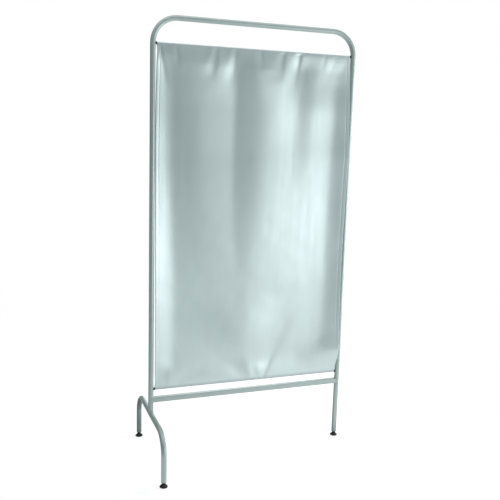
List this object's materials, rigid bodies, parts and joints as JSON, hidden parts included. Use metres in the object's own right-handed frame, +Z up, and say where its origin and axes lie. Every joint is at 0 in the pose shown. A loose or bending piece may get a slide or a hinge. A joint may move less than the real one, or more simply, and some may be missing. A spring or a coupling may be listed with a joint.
{
  "type": "ward privacy screen",
  "caption": "Single-panel ward privacy screen: bent tube frame holding a hanging sheet between rods, on a bowed leg, a straight post and levelling feet.",
  "frame": {"origin": "on the floor, midway between the two posts and in the frame tube's plane", "axes": "+X across the screen from the bowed leg to the straight post, +Y to the rear, +Z up"},
  "size_m": [0.84, 0.486, 1.7],
  "materials": {
    "silver_paint": "satin silver-grey powder coat",
    "silver_sheet": "silver-grey coated sheet with a soft sheen",
    "black_plastic": "moulded black plastic",
    "rod_steel": "bright drawn steel",
    "stud_steel": "blackened steel"
  },
  "bodies": {
    "frame": {"frame_tube": "silver_paint", "foot_bow": "silver_paint", "lower_rail": "silver_paint", "bow_weld": "silver_paint", "rail_weld_left": "silver_paint", "rail_weld_right": "silver_paint", "top_rod": "rod_steel", "bottom_rod": "rod_steel", "rod_bush_top_left": "black_plastic", "rod_bush_top_right": "black_plastic", "rod_bush_bottom_left": "black_plastic", "rod_bush_bottom_right": "black_plastic", "privacy_sheet": "silver_sheet", "tube_insert_front": "black_plastic", "tube_insert_rear": "black_plastic", "tube_insert_right": "black_plastic"},
    "front_pad": {"foot_pad_front": "black_plastic"},
    "front_stud": {"foot_stud_front": "stud_steel"},
    "rear_pad": {"foot_pad_rear": "black_plastic"},
    "rear_stud": {"foot_stud_rear": "stud_steel"},
    "right_pad": {"foot_pad_right": "black_plastic"},
    "right_stud": {"foot_stud_right": "stud_steel"}
  },
  "joints": [
    {"name": "front_foot_travel", "type": "slide", "parent": "frame", "child": "front_pad", "axis": [0, 0, -1], "range_m": [0, 0.01]},
    {"name": "front_stud_turn", "type": "hinge", "parent": "front_pad", "child": "front_stud", "pos_m": [-0.405, -0.228, 0.015], "axis": [0, 0, -1], "range_deg": [0, 2880]},
    {"name": "rear_foot_travel", "type": "slide", "parent": "frame", "child": "rear_pad", "axis": [0, 0, -1], "range_m": [0, 0.01]},
    {"name": "rear_stud_turn", "type": "hinge", "parent": "rear_pad", "child": "rear_stud", "pos_m": [-0.405, 0.228, 0.015], "axis": [0, 0, -1], "range_deg": [0, 2880]},
    {"name": "right_foot_travel", "type": "slide", "parent": "frame", "child": "right_pad", "axis": [0, 0, -1], "range_m": [0, 0.01]},
    {"name": "right_stud_turn", "type": "hinge", "parent": "right_pad", "child": "right_stud", "pos_m": [0.405, 0, 0.015], "axis": [0, 0, -1], "range_deg": [0, 2880]}
  ],
  "couplings": [
    {"joint": "front_stud_turn", "follows": "front_foot_travel", "rad_per_m": 5026.5},
    {"joint": "rear_stud_turn", "follows": "rear_foot_travel", "rad_per_m": 5026.5},
    {"joint": "right_stud_turn", "follows": "right_foot_travel", "rad_per_m": 5026.5}
  ]
}
